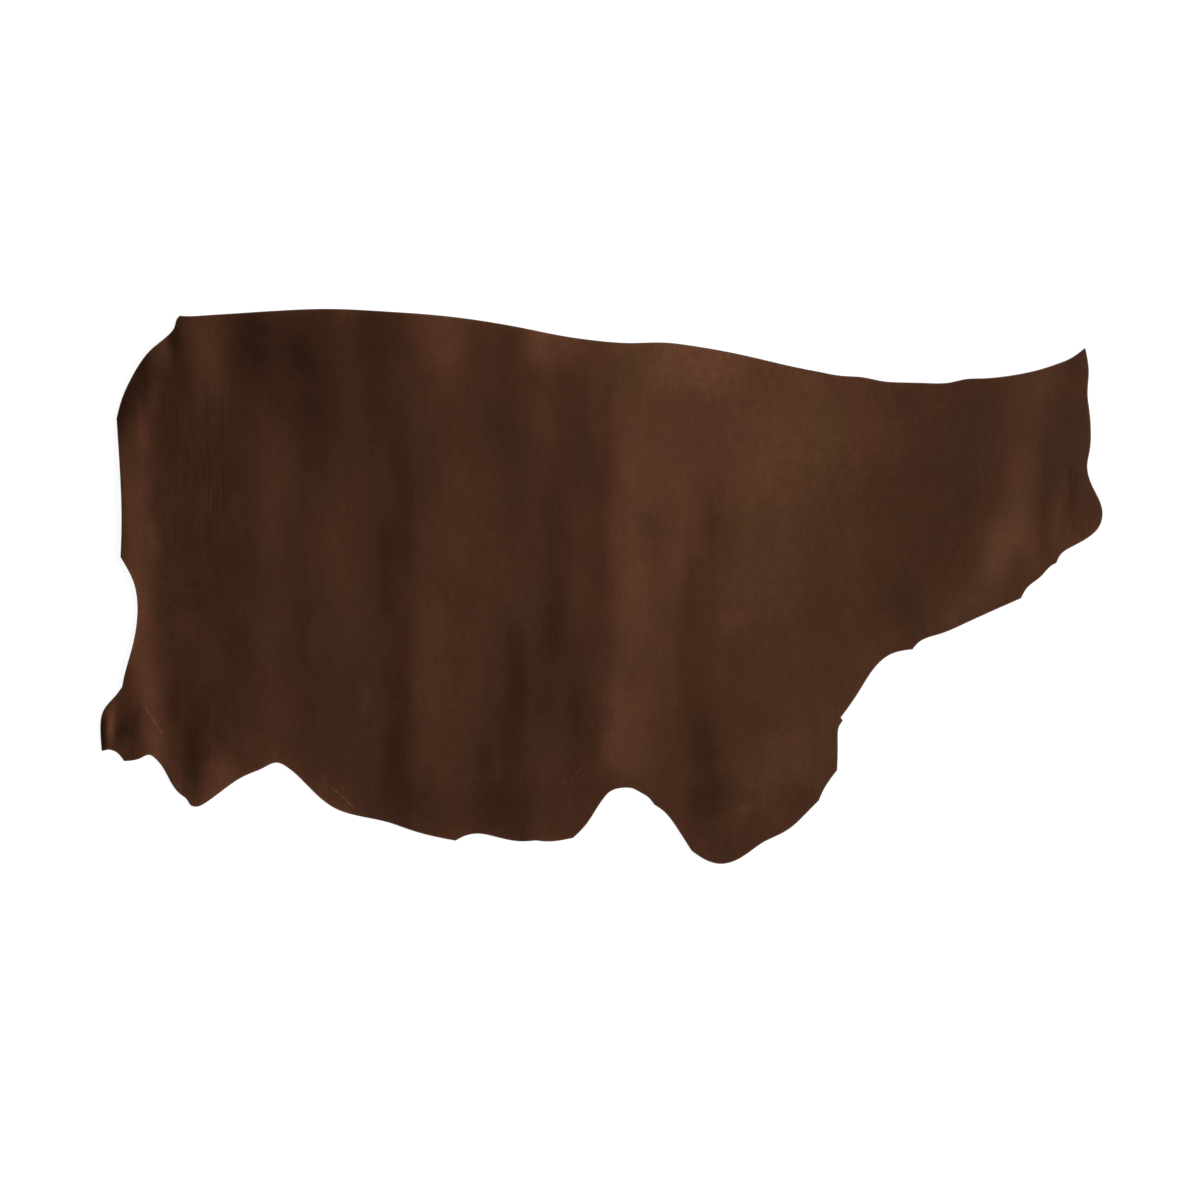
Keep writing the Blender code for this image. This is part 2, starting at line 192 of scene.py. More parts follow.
THIGH = (
    Station("inner thigh", 163.0, 458.5, SMOOTH),
    Station("inner thigh end", 145.0, 466.2, SMOOTH),
    Station("thigh", 130.5, 475.0, SMOOTH),
    Station("thigh end", 106.0, 493.0, SMOOTH),
    Station("thigh point", 95.0, 497.2, SMOOTH),
    Station("thigh turn", 91.0, 495.8, SMOOTH),
    Station("thigh turn head", 87.9, 491.0, SMOOTH),
    Station("thigh step", 80.5, 484.6, SMOOTH),
    Station("hock slope", 67.0, 464.8, SMOOTH),
    Station("hock turn", 55.5, 448.8, SMOOTH),
    Station("hock hollow", 49.5, 445.3, SMOOTH),
    Station("hock", 41.0, 448.5, SMOOTH),
)

HIND_SHANK = (
    Station("hock corner", 24.3, 451.6, CORNER),
    Station("shank end turn", 18.4, 444.1, SMOOTH),
    Station("shank end", 8.5, 440.2, SMOOTH),
    Station("shank toe", 2.2, 441.7, CORNER),
    Station("shank side", 0.9, 419.5, SMOOTH),
    Station("shank shoulder", 3.6, 402.2, SMOOTH),
    Station("shank slope", 17.0, 385.5, SMOOTH),
    Station("hock nick", 22.6, 377.8, CORNER),
    Station("buttock foot", 24.4, 369.0, SMOOTH),
    Station("buttock low", 30.8, 346.0, SMOOTH),
    Station("buttock hollow", 38.1, 302.0, SMOOTH),
    Station("buttock turn", 34.4, 273.4, SMOOTH),
)

RUMP = (
    Station("stifle corner", 21.3, 248.0, CORNER),
    Station("rump edge", 22.3, 212.0, SMOOTH),
    Station("rump edge high", 20.4, 158.0, SMOOTH),
    Station("rump corner", 17.1, 109.5, CORNER),
    Station("rump turn", 22.0, 91.0, SMOOTH),
    Station("rump curve", 31.2, 70.5, SMOOTH),
    Station("pin bone", 51.7, 41.0, SMOOTH),
    Station("tail set", 69.5, 25.6, SMOOTH),
    Station("tail notch", 75.1, 17.9, SMOOTH),
    Station("tail notch head", 77.4, 10.3, SMOOTH),
)

EDGES = (
    BACKBONE,
    WITHERS,
    NECK,
    BRISKET,
    FORE_SHANK,
    FLANK_BAY,
    BELLY,
    THIGH,
    HIND_SHANK,
    RUMP,
)

# A ridge is where the leather stands off the surface. Its crest runs from (u_top, v_top) by u_mid
# half way down to (u_foot, v_foot), in drawing units. It is `before` wide on the rump side of the
# crest and `after` wide on the neck side, where `keen` tells how sharply it breaks: 0 is a soft
# swell and 1 a fold. It is `rise` metres high. Over the first `lead` and the last `fade` units it
# rises from and sinks to the surface, and at its top it is `slim` times as wide as from half way
# down; an end beyond the cut edge runs out through the edge.
Ridge = namedtuple("Ridge", "name u_top v_top u_mid u_foot v_foot before after keen rise lead fade slim")
RIDGES = (
    Ridge("shank pleat", 6.5, 392, 7.0, 8.0, 470, 8, 10, 0.2, 0.0016, 22, 22, 1.0),
    Ridge("rump ridge", 20.0, 80, 27.0, 52.0, 480, 24, 38, 0.6, 0.0048, 70, 70, 0.8),
    Ridge("pin pleat", 52.0, 0, 51.0, 42.0, 112, 34, 18, 0.3, 0.0036, 40, 40, 1.0),
    Ridge("tail ridge", 88.0, -30, 92.0, 100.0, 112, 24, 44, 0.1, 0.0034, 40, 50, 1.0),
    Ridge("hip ridge", 155.0, 66, 158.0, 154.0, 520, 90, 46, 0.2, 0.0070, 110, 150, 1.0),
    Ridge("thigh pleat", 107.0, 380, 108.0, 110.0, 500, 25, 32, 0.3, 0.0048, 60, 60, 1.0),
    Ridge("loin ridge", 224.0, 110, 222.0, 220.0, 420, 64, 56, 0.2, 0.0050, 110, 110, 1.0),
    Ridge("rib ridge", 316.0, 30, 319.0, 315.0, 600, 42, 118, 0.2, 0.0076, 170, 150, 0.7),
    Ridge("back ridge", 428.0, -40, 428.0, 426.0, 200, 34, 34, 0.2, 0.0035, 80, 80, 1.0),
    Ridge("side ridge", 478.0, 120, 476.0, 484.0, 470, 44, 50, 0.1, 0.0056, 110, 110, 0.8),
    Ridge("navel pleat", 392.0, 400, 393.0, 394.0, 600, 24, 26, 0.1, 0.0018, 60, 60, 1.0),
    Ridge("belly pleat", 434.0, 310, 434.0, 430.0, 600, 34, 40, 0.1, 0.0046, 90, 80, 0.8),
    Ridge("middle ridge", 511.0, 30, 521.0, 486.0, 520, 50, 80, 0.7, 0.0084, 220, 130, 1.0),
    Ridge("shoulder ridge", 631.0, 112, 621.0, 620.0, 480, 46, 110, 0.1, 0.0070, 170, 140, 0.45),
    Ridge("elbow ridge", 622.0, 370, 627.0, 622.0, 580, 46, 84, 0.2, 0.0080, 70, 90, 1.0),
    Ridge("neck ridge", 923.0, -30, 905.0, 816.0, 350, 110, 54, 0.1, 0.0082, 200, 60, 0.6),
    Ridge("cheek pleat", 956.0, 100, 954.0, 950.0, 290, 18, 20, 0.3, 0.0014, 50, 50, 1.0),
)

# A zone is a soft-edged patch of the side: its middle, how far it reaches towards rump, neck,
# backbone and belly, and the shares of that reach over which it fades at its sides and at its ends.
# In the first table the colour is painted darker (lift below 0) or paler (above 0). It is mostly painted
# light and shade: paler on flanks turned to the light, and darker in hollows, in folds and on flanks
# turned away. Part of it is the dye's own unevenness. In BORDERED it is painted paler on the cut
# edge's own margin; along the rump this stands in for light caught where the edge curls up. In
# STREAKED the grain was drawn into fine strokes down the side, in MOTTLED it is cloudier than
# elsewhere, and in OLIVE the dye leans from red brown towards olive.
Zone = namedtuple("Zone", "name u v before after above below side end lift")
# Painted light and shade on the grain side, with the dye's own unevenness: each row makes the colour paler or
# darker in one place.
PAINTED_LIGHT_AND_DYE = (
    Zone("left side", 60, 230, 200, 270, 400, 400, 0.25, 0.3, -0.19),
    Zone("arch", 190, 60, 70, 60, 100, 70, 0.6, 0.5, -0.20),
    Zone("arch side", 218, 88, 30, 36, 60, 50, 0.9, 0.9, -0.20),
    Zone("arch start", 146, 22, 26, 34, 40, 72, 0.8, 0.8, -0.36),
    Zone("loin top", 282, 20, 44, 40, 60, 46, 0.7, 0.7, -0.25),
    Zone("tail light", 106, 32, 22, 22, 44, 76, 0.8, 0.6, 0.24),
    Zone("tail corner", 30, 75, 40, 26, 80, 46, 0.6, 0.6, -0.30),
    Zone("rump edge", 34, 270, 60, 28, 160, 176, 0.7, 0.6, 0.38),
    Zone("hock", 52, 410, 22, 20, 60, 60, 0.8, 0.7, 0.30),
    Zone("mid back", 470, 10, 130, 60, 60, 80, 0.8, 0.8, 0.14),
    Zone("saddle", 450, 24, 48, 60, 60, 46, 0.7, 0.8, 0.27),
    Zone("rib", 342, 20, 38, 42, 60, 60, 0.9, 0.8, 0.37),
    Zone("shoulder", 560, 200, 52, 290, 260, 520, 0.30, 0.7, 0.22),
    Zone("shoulder top", 560, 80, 62, 228, 260, 250, 0.30, 0.7, 0.24),
    Zone("upper arm", 670, 125, 60, 110, 70, 80, 0.9, 0.9, 0.12),
    Zone("withers", 592, 54, 60, 76, 60, 50, 0.8, 0.8, 0.37),
    Zone("fold light", 521, 266, 32, 36, 106, 68, 0.9, 0.9, 0.29),
    Zone("neck", 880, 150, 140, 200, 200, 200, 0.4, 0.4, 0.08),
    Zone("throat", 914, 242, 46, 62, 56, 60, 0.8, 0.8, 0.24),
    Zone("jowl", 922, 152, 52, 32, 150, 76, 0.8, 0.8, 0.11),
    Zone("elbow", 690, 450, 56, 54, 40, 46, 0.7, 0.6, 0.13),
    Zone("thigh", 114, 474, 20, 40, 30, 34, 0.8, 0.7, 0.42),
    Zone("udder", 240, 490, 40, 34, 30, 40, 0.8, 0.8, 0.22),
    Zone("belly", 370, 520, 90, 130, 60, 60, 0.6, 0.6, -0.12),
    Zone("loin hollow", 233, 120, 30, 30, 40, 40, 0.9, 0.9, -0.10),
    Zone("elbow light", 518, 430, 22, 50, 70, 60, 0.8, 0.8, 0.14),
    Zone("navel shade", 388, 455, 40, 50, 90, 90, 0.8, 0.8, -0.16),
    Zone("flank shade", 436, 362, 40, 40, 80, 90, 0.8, 0.8, -0.13),
    Zone("arm shade", 652, 372, 44, 60, 80, 80, 0.8, 0.8, -0.13),
    Zone("elbow tip", 640, 532, 26, 56, 30, 40, 0.8, 0.8, -0.18),
    Zone("arm back", 566, 424, 36, 34, 42, 46, 0.9, 0.9, -0.14),
    Zone("croup shade", 70, 88, 18, 16, 50, 100, 0.8, 0.8, -0.19),
    Zone("arm end", 745, 215, 70, 110, 110, 120, 0.8, 0.8, -0.11),
    Zone("rib side", 320, 148, 14, 38, 50, 80, 0.8, 0.8, -0.15),
    Zone("stifle light", 84, 314, 18, 28, 18, 24, 0.9, 0.9, 0.24),
    Zone("jaw shade", 953, 134, 39, 43, 70, 100, 0.8, 0.8, -0.25),
    Zone("throat shade", 912, 262, 20, 18, 34, 32, 0.9, 0.9, -0.24),
    Zone("arm fold shade", 629, 238, 13, 16, 60, 50, 0.9, 0.9, -0.13),
    Zone("knee light", 644, 504, 14, 14, 16, 18, 0.9, 0.9, 0.25),
    Zone("navel fold", 402, 408, 28, 28, 130, 130, 0.8, 0.8, -0.23),
    Zone("belly fold", 448, 405, 26, 20, 80, 80, 0.9, 0.9, -0.22),
    Zone("rear belly shade", 320, 486, 24, 30, 34, 44, 0.8, 0.8, -0.2),
    Zone("side light", 324, 338, 24, 32, 84, 104, 0.9, 0.9, 0.24),
    Zone("rib light", 292, 402, 22, 26, 36, 34, 0.9, 0.9, 0.24),
    Zone("loin fold", 277, 76, 24, 20, 60, 96, 0.9, 0.9, -0.24),
    Zone("arch crown", 172, 34, 70, 66, 40, 50, 0.8, 0.8, -0.12),
    Zone("pin shade", 24, 82, 20, 16, 60, 46, 0.9, 0.9, -0.26),
    Zone("pin light", 42, 104, 12, 15, 24, 62, 0.9, 0.9, 0.45),
    Zone("rump line", 55, 230, 9, 10, 34, 44, 0.9, 0.9, 0.26),
    Zone("arm side", 712, 340, 60, 50, 90, 100, 0.8, 0.8, -0.08),
    Zone("nape shade", 800, 90, 40, 44, 26, 60, 0.9, 0.9, -0.15),
    Zone("upper neck shade", 788, 172, 44, 44, 50, 60, 0.9, 0.9, -0.16),
    Zone("arm light", 630, 317, 26, 34, 20, 26, 0.9, 0.9, 0.2),
    Zone("shank edge", 2, 426, 6, 10, 26, 32, 0.6, 0.7, -0.80),
    Zone("shank light", 13, 416, 6, 6, 30, 26, 0.8, 0.8, 0.58),
    Zone("shank shade", 23, 428, 7, 8, 22, 18, 0.8, 0.8, -0.42),
    Zone("pin stroke", 65, 32, 9, 8, 14, 36, 0.8, 0.8, 0.2),
    Zone("tail notch", 77, 25, 7, 8, 20, 24, 0.8, 0.8, -0.44),
    Zone("pin hollow", 49, 60, 14, 18, 40, 28, 0.8, 0.8, -0.38),
    Zone("pin edge", 18, 108, 10, 12, 30, 28, 0.7, 0.8, -0.66),
    Zone("arch end light", 246, 2, 18, 18, 24, 26, 0.8, 0.8, 0.28),
    Zone("rib top", 350, 60, 26, 26, 40, 46, 0.9, 0.9, 0.20),
    Zone("saddle side", 414, 70, 18, 20, 50, 50, 0.9, 0.9, 0.16),
    Zone("arch foot", 211, 136, 32, 36, 40, 48, 0.9, 0.9, -0.21),
    Zone("loin light", 222, 232, 38, 44, 64, 62, 0.7, 0.9, 0.16),
    Zone("thigh side", 107, 350, 26, 32, 74, 66, 0.9, 0.9, 0.2),
    Zone("thigh hollow", 188, 354, 14, 14, 40, 44, 0.9, 0.9, -0.17),
    Zone("thigh streak", 218, 322, 12, 12, 50, 50, 0.9, 0.9, 0.14),
    Zone("hock hollow", 76, 400, 10, 12, 36, 34, 0.9, 0.9, -0.22),
    Zone("hock bend", 40, 408, 9, 8, 18, 28, 0.9, 0.9, -0.23),
    Zone("hock foot", 30, 440, 14, 14, 18, 16, 0.8, 0.8, 0.22),
    Zone("rib fold light", 297, 250, 14, 18, 120, 120, 0.9, 0.7, 0.30),
    Zone("navel hollow", 412, 338, 20, 20, 60, 54, 0.9, 0.9, -0.22),
    Zone("fold foot light", 484, 300, 28, 20, 70, 60, 0.9, 0.9, 0.22),
    Zone("navel streak", 404, 498, 18, 20, 46, 40, 0.9, 0.8, -0.36),
    Zone("back fold light", 500, 86, 16, 14, 66, 104, 0.9, 0.8, 0.26),
    Zone("fold side light", 480, 232, 26, 30, 60, 60, 0.7, 0.9, 0.155),
    Zone("arm front light", 601, 274, 17, 16, 88, 90, 0.9, 0.8, 0.27),
    Zone("shoulder hollow", 546, 230, 30, 32, 46, 36, 0.9, 0.9, -0.25),
    Zone("shoulder shade", 664, 222, 28, 30, 50, 56, 0.9, 0.9, -0.14),
    Zone("arm hollow", 652, 426, 38, 46, 44, 52, 0.9, 0.9, -0.20),
    Zone("arm back light", 510, 438, 14, 16, 30, 28, 0.9, 0.9, 0.24),
    Zone("elbow rim", 600, 494, 30, 34, 24, 20, 0.9, 0.9, -0.22),
    Zone("knee shade", 694, 494, 36, 30, 32, 28, 0.9, 0.9, -0.22),
    Zone("knee hollow", 626, 490, 22, 34, 36, 34, 0.9, 0.9, -0.23),
    Zone("forearm shade", 720, 305, 30, 34, 30, 30, 0.9, 0.9, -0.11),
    Zone("belly rim", 594, 362, 14, 14, 40, 40, 0.9, 0.9, 0.15),
    Zone("fore shank light", 732, 412, 24, 22, 34, 26, 0.9, 0.9, 0.14),
    Zone("nape light", 882, 118, 30, 34, 50, 60, 0.9, 0.9, -0.06),
    Zone("dewlap", 808, 296, 20, 26, 46, 46, 0.9, 0.9, -0.17),
    Zone("dewlap light", 848, 316, 34, 14, 22, 18, 0.9, 0.9, 0.2),
    Zone("poll streak", 973, 182, 9, 10, 40, 32, 0.9, 0.9, -0.17),
    Zone("arch hollow", 202, 46, 18, 26, 36, 26, 0.8, 0.8, -0.27),
    Zone("hock inside", 62, 447, 14, 14, 50, 24, 0.9, 0.9, 0.26),
    Zone("thigh line", 88, 445, 9, 9, 42, 36, 0.9, 0.9, -0.25),
    Zone("thigh bend", 119, 430, 16, 12, 22, 20, 0.9, 0.9, -0.25),
    Zone("thigh end light", 146, 438, 12, 14, 26, 24, 0.9, 0.9, 0.19),
    Zone("rib end shade", 391, 106, 16, 12, 44, 50, 0.9, 0.9, -0.17),
    Zone("back low shade", 402, 202, 24, 20, 50, 60, 0.9, 0.9, -0.11),
    Zone("back side shade", 434, 136, 22, 20, 34, 38, 0.9, 0.9, -0.12),
    Zone("shoulder edge light", 708, 70, 26, 24, 12, 20, 0.8, 0.8, 0.16),
    Zone("cheek light", 953, 200, 12, 12, 32, 30, 0.9, 0.9, 0.17),
    Zone("poll shade", 974, 56, 16, 14, 22, 30, 0.8, 0.8, -0.2),
    Zone("belly end shade", 459, 500, 14, 14, 50, 40, 0.9, 0.7, -0.16),
    Zone("bay shade", 520, 480, 44, 40, 24, 22, 0.9, 0.9, -0.17),
    Zone("rear belly light", 332, 436, 18, 18, 30, 24, 0.9, 0.9, 0.14),
    Zone("croup low light", 108, 198, 20, 24, 40, 46, 0.9, 0.9, 0.16),
    Zone("hip side light", 168, 208, 14, 16, 60, 60, 0.9, 0.9, 0.12),
    Zone("hip top light", 163, 104, 14, 14, 22, 24, 0.9, 0.9, 0.19),
    Zone("loin low light", 206, 274, 16, 16, 26, 26, 0.9, 0.9, 0.16),
    Zone("foot light", 600, 533, 15, 17, 18, 14, 0.9, 0.9, 0.15),
    Zone("flank mark", 267, 396, 11, 11, 26, 24, 0.9, 0.9, 0.22),
    Zone("hock nick light", 28, 392, 14, 13, 24, 36, 0.9, 0.9, 0.26),
    Zone("thigh step light", 75, 470, 9, 9, 18, 14, 0.9, 0.9, 0.22),
    Zone("upper neck low shade", 867, 193, 20, 16, 28, 26, 0.9, 0.9, -0.12),
    Zone("groin light", 158, 440, 28, 22, 40, 34, 0.9, 0.9, 0.12),
)
# Painted paler along the cut edge's margin; along the rump it stands in for light caught where the edge curls
# up.
BORDERED = (
    Zone("thigh border", 130, 470, 110, 150, 130, 90, 0.3, 0.4, 0.36),
    Zone("belly border", 360, 520, 120, 140, 60, 60, 0.5, 0.5, 0.12),
    Zone("rump border", 30, 330, 60, 50, 96, 76, 0.5, 0.5, 0.30),
    Zone("back border", 330, 14, 230, 480, 50, 80, 0.4, 0.4, 0.17),
    Zone("navel border", 352, 526, 26, 24, 20, 16, 0.6, 0.6, 0.22),
    Zone("cheek border", 984, 224, 34, 26, 34, 24, 0.6, 0.6, 0.20),
)
STREAKED = (
    Zone("croup strokes", 98, 154, 50, 50, 108, 126, 0.45, 0.5, 0.9),
    Zone("thigh strokes", 96, 420, 24, 34, 60, 70, 0.8, 0.8, 0.6),
    Zone("throat strokes", 888, 158, 22, 22, 60, 60, 0.8, 0.8, 0.45),
    Zone("cheek strokes", 972, 190, 30, 30, 60, 50, 0.7, 0.7, 0.9),
    Zone("jaw strokes", 975, 90, 20, 20, 40, 50, 0.9, 0.9, 0.4),
    Zone("flank strokes", 320, 380, 60, 60, 120, 120, 0.9, 0.9, 0.3),
)
MOTTLED = (
    Zone("withers mottle", 600, 56, 80, 90, 50, 50, 0.7, 0.8, 0.7),
    Zone("shoulder mottle", 742, 158, 60, 60, 50, 70, 0.8, 0.8, 0.9),
    Zone("arch mottle", 170, 50, 70, 80, 60, 70, 0.8, 0.8, 0.5),
    Zone("stifle mottle", 84, 300, 50, 60, 60, 60, 0.8, 0.8, 0.6),
    Zone("elbow mottle", 650, 500, 70, 60, 60, 50, 0.8, 0.8, 0.7),
    Zone("nape mottle", 790, 90, 60, 80, 30, 40, 0.8, 0.8, 0.6),
)
OLIVE = (
    Zone("shoulder", 640, 280, 135, 110, 300, 270, 0.25, 0.3, 0.24),
    Zone("neck", 870, 250, 150, 140, 90, 120, 0.4, 0.4, 0.20),
    Zone("withers", 522, 50, 20, 60, 60, 60, 0.7, 0.7, 0.48),
    Zone("upper arm", 672, 245, 60, 40, 80, 70, 0.6, 0.6, 0.45),
    Zone("crest", 738, 125, 60, 26, 70, 76, 0.8, 0.7, 0.65),
    Zone("forearm", 700, 375, 50, 50, 70, 50, 0.6, 0.6, -0.40),
    Zone("knee", 690, 455, 30, 40, 30, 40, 0.7, 0.6, 0.30),
)

MARGIN = 0.024  # the depth at which the border's paleness has sunk to about a third, in metres

# A scar is a healed scratch: a fine raised line, paler than the leather round it, between two
# points, `bow` units off straight in its middle.
Scar = namedtuple("Scar", "name u_from v_from u_to v_to bow lift pale")
SCARS = (
    Scar("hock scratch", 39.1, 389.3, 64.3, 427.3, -0.3, 0.00020, 1.30),
    Scar("udder scratch", 229.6, 476.2, 257.0, 501.4, 0.0, 0.00020, 1.60),
    Scar("udder scratch start", 216.4, 460.6, 229.6, 476.2, 0.7, 0.00010, 0.35),
    Scar("belly scratch", 483.3, 456.6, 469.6, 471.5, 0.0, 0.00018, 0.86),
    Scar("belly scratch tail", 442.0, 474.0, 469.6, 471.5, 1.7, 0.00010, 0.50),
    Scar("navel line", 362.0, 467.8, 402.0, 468.4, -0.6, 0.00008, 0.46),
    Scar("flank line", 402.0, 436.5, 500.0, 435.0, -2.0, 0.00005, 0.14),
    Scar("elbow line", 556.0, 461.0, 590.0, 457.0, 1.0, 0.00005, 0.16),
    Scar("croup line", 98.0, 13.0, 160.0, 9.0, 2.0, 0.00005, -0.14),
    Scar("nape line", 722.0, 68.5, 784.0, 79.0, 1.5, 0.00005, -0.16),
    Scar("stifle line", 150.0, 398.0, 178.0, 404.0, -4.0, 0.00005, 0.16),
)
SCAR_ROWS = (-0.0030, -0.0013, 0.0, 0.0013, 0.0030)  # the mesh's own rows along a scar, in metres


def natural_spline(points, samples):
    """A draughtsman's batten through the points: a cubic of even bend, read at `samples` places."""
    points = np.asarray(points, float)
    chord = np.linalg.norm(np.diff(points, axis=0), axis=1)
    reach = np.concatenate([[0.0], np.cumsum(chord)])
    count = len(points)
    if count == 2:
        share = np.linspace(0, 1, samples)[:, None]
        return points[0] * (1 - share) + points[1] * share
    system = np.zeros((count, count))
    system[0, 0] = system[-1, -1] = 1.0
    target = np.zeros((count, 2))
    for i in range(1, count - 1):
        system[i, i - 1] = chord[i - 1]
        system[i, i] = 2 * (chord[i - 1] + chord[i])
        system[i, i + 1] = chord[i]
        target[i] = 6 * (
            (points[i + 1] - points[i]) / chord[i]
            - (points[i] - points[i - 1]) / chord[i - 1]
        )
    bend = np.linalg.solve(system, target)
    along = np.linspace(0, reach[-1], samples)
    i = np.clip(np.searchsorted(reach, along, side="right") - 1, 0, count - 2)
    width = chord[i][:, None]
    left = (reach[i + 1] - along)[:, None]
    right = (along - reach[i])[:, None]
    return (
        (bend[i] * left**3 + bend[i + 1] * right**3) / (6 * width)
        + (points[i] / width - bend[i] * width / 6) * left
        + (points[i + 1] / width - bend[i + 1] * width / 6) * right
    )


def evenly_spaced(curve, step):
    """The curve at equal distances of about `step`, with both ends kept."""
    length = np.concatenate([[0.0], np.cumsum(np.linalg.norm(np.diff(curve, axis=0), axis=1))])
    count = max(1, round(length[-1] / step))
    at = np.linspace(0, length[-1], count + 1)
    return np.stack([np.interp(at, length, curve[:, k]) for k in (0, 1)], axis=1)


def inward(ring):
    """The way from each point of the ring into the leather."""
    before, after = np.roll(ring, 1, axis=0), np.roll(ring, -1, axis=0)
    along = after - before
    along /= np.linalg.norm(along, axis=1)[:, None]
    normal = np.stack([along[:, 1], -along[:, 0]], axis=1)
    area = np.sum(ring[:, 0] * np.roll(ring[:, 1], -1) - np.roll(ring[:, 0], -1) * ring[:, 1])
    return normal * (-1 if area > 0 else 1)


def outline(step):
    """The cut edge in drawing units, clockwise from the tail corner, a point about every `step`."""
    stations = [station for edge in EDGES for station in edge]
    corners = [i for i, station in enumerate(stations) if station.turn == CORNER]
    ring = []
    for n, first in enumerate(corners):
        last = corners[(n + 1) % len(corners)]
        run = stations[first : last + 1] if last > first else stations[first:] + stations[: last + 1]
        curve = natural_spline([(s.u, s.v) for s in run], 60 * len(run))
        ring.extend(evenly_spaced(curve, step)[:-1])
    ring = np.array(ring)
    return ring - inward(ring) * LEEWAY


def soft_step(x):
    x = np.clip(x, 0.0, 1.0)
    return x * x * (3 - 2 * x)


def swell(across):
    """A soft hump's height at a share of its width from the crest."""
    return np.cos(np.clip(across, 0, 1) * math.pi / 2) ** 2


def fold(across):
    """A fold's height: it drops away steeply at the crest and runs out softly."""
    blunt = 0.12
    reach = (np.sqrt(across**2 + blunt**2) - blunt) / (math.sqrt(1 + blunt**2) - blunt)
    return np.clip(1 - reach, 0, 1) ** 2


def wander(u, v):
    """How far every crest strays sideways at (u, v), in drawing units: no ridge runs true."""
    return 1.9 * np.sin(v / 47 + u / 83) + 1.0 * np.sin(v / 22 - u / 61 + 1.3)


def fullness(u, v):
    """How much higher or lower than its row says a ridge is at (u, v): none is even."""
    return 1 + 0.14 * np.sin(v / 31 + u / 47) + 0.09 * np.sin(v / 13 - u / 29 + 0.6)


def stand_off(u, v):
    """How far the leather's flesh side stands off the surface at (u, v), in metres."""
    total = np.zeros_like(u)
    full = fullness(u, v)
    u = u + wander(u, v)
    for ridge in RIDGES:
        down = np.clip((v - ridge.v_top) / (ridge.v_foot - ridge.v_top), 0.0, 1.0)
        crest = (
            ridge.u_top * (1 - down) * (1 - 2 * down)
            + 4 * ridge.u_mid * down * (1 - down)
            + ridge.u_foot * down * (2 * down - 1)
        )
        off = (u - crest) / (ridge.slim + (1 - ridge.slim) * soft_step(2 * down))
        rump_side = swell(np.abs(off) / ridge.before)
        across = np.abs(off) / ridge.after
        neck_side = (1 - ridge.keen) * swell(across) + ridge.keen * fold(across)
        ends = soft_step((v - ridge.v_top) / ridge.lead) * soft_step((ridge.v_foot - v) / ridge.fade)
        total += ridge.rise * np.where(off < 0, rump_side, neck_side) * ends
    return total * full


def zoned(zones, u, v):
    """The zones' lift at (u, v), their borders strayed like everything on a hide."""
    total = np.zeros_like(u)
    u = u + 5 * unevenness(u, v, 34, 46, 31)
    v = v + 7 * unevenness(u, v, 40, 34, 32)
    for zone in zones:
        across = np.abs(u - zone.u) / np.where(u < zone.u, zone.before, zone.after)
        along = np.abs(v - zone.v) / np.where(v < zone.v, zone.above, zone.below)
        total += zone.lift * soft_step((1 - across) / zone.side) * soft_step((1 - along) / zone.end)
    return total


def unevenness(u, v, size_u, size_v, seed):
    """Smooth chance heights, from -1 to 1, that vary over about size_u by size_v units."""
    chance = np.random.default_rng(seed)
    table = chance.uniform(-1, 1, (int(620 / size_v) + 8, int(1080 / size_u) + 8))
    x, y = (u + 30) / size_u + 1, (v + 30) / size_v + 1
    i, j = np.floor(x).astype(int), np.floor(y).astype(int)
    p, q = x - i, y - j
    p, q = p**3 * (p * (6 * p - 15) + 10), q**3 * (q * (6 * q - 15) + 10)
    top = table[j, i] * (1 - p) + table[j, i + 1] * p
    foot = table[j + 1, i] * (1 - p) + table[j + 1, i + 1] * p
    return top * (1 - q) + foot * q


def scar_line(scar, step):
    """Points along a scar's middle, and the way across it, in drawing units."""
    start, end = np.array([scar.u_from, scar.v_from]), np.array([scar.u_to, scar.v_to])
    way = end - start
    length = np.linalg.norm(way)
    across = np.array([-way[1], way[0]]) / length
    share = np.linspace(0, 1, max(3, round(length / step)))[:, None]
    return start + way * share + across * scar.bow * 4 * share * (1 - share), across


def scar_depth(points):
    """(raise in metres, paleness) that the scars give at these points, in drawing units."""
    lift, pale = np.zeros(len(points)), np.zeros(len(points))
    for n, scar in enumerate(SCARS):
        line, _ = scar_line(scar, 2.0)
        near = np.where(distance_box(points, line, 4.0))[0]
        if not len(near):
            continue
        nearest, share = distance_along(points[near], line)
        profile = np.clip(1 - nearest * UNIT / 0.0022, 0, 1) ** 2 * np.where(share < 1, 1, 0)
        ends = soft_step(share / 0.18) * soft_step((1 - share) / 0.18)
        broken = 0.72 + 0.28 * np.sin(share * (23 + 5 * n) + n)
        lift[near] += scar.lift * profile * ends * broken
        pale[near] += scar.pale * profile * ends * broken
    return lift, pale


def distance_box(points, line, margin):
    low, high = line.min(axis=0) - margin, line.max(axis=0) + margin
    return np.all((points > low) & (points < high), axis=1)


def distance_along(points, line):
    """Distance of each point from an open line, and how far along the line that is, from 0 to 1."""
    nearest, share = np.full(len(points), np.inf), np.zeros(len(points))
    last = len(line) - 1
    for n in range(last):
        way = line[n + 1] - line[n]
        at = np.clip(((points - line[n]) @ way) / (way @ way), 0.0, 1.0)
        gap = np.linalg.norm(points - line[n] - at[:, None] * way, axis=1)
        share = np.where(gap < nearest, (n + at) / last, share)
        nearest = np.minimum(nearest, gap)
    return nearest, share


def inside(points, ring):
    """Which points lie inside the closed ring, by counting the edges crossed on the way out."""
    count = np.zeros(len(points), int)
    for a, b in zip(ring, np.roll(ring, -1, axis=0)):
        if a[1] == b[1]:
            continue
        spans = (a[1] > points[:, 1]) != (b[1] > points[:, 1])
        crossing = a[0] + (points[:, 1] - a[1]) * (b[0] - a[0]) / (b[1] - a[1])
        count += spans & (points[:, 0] < crossing)
    return count % 2 == 1


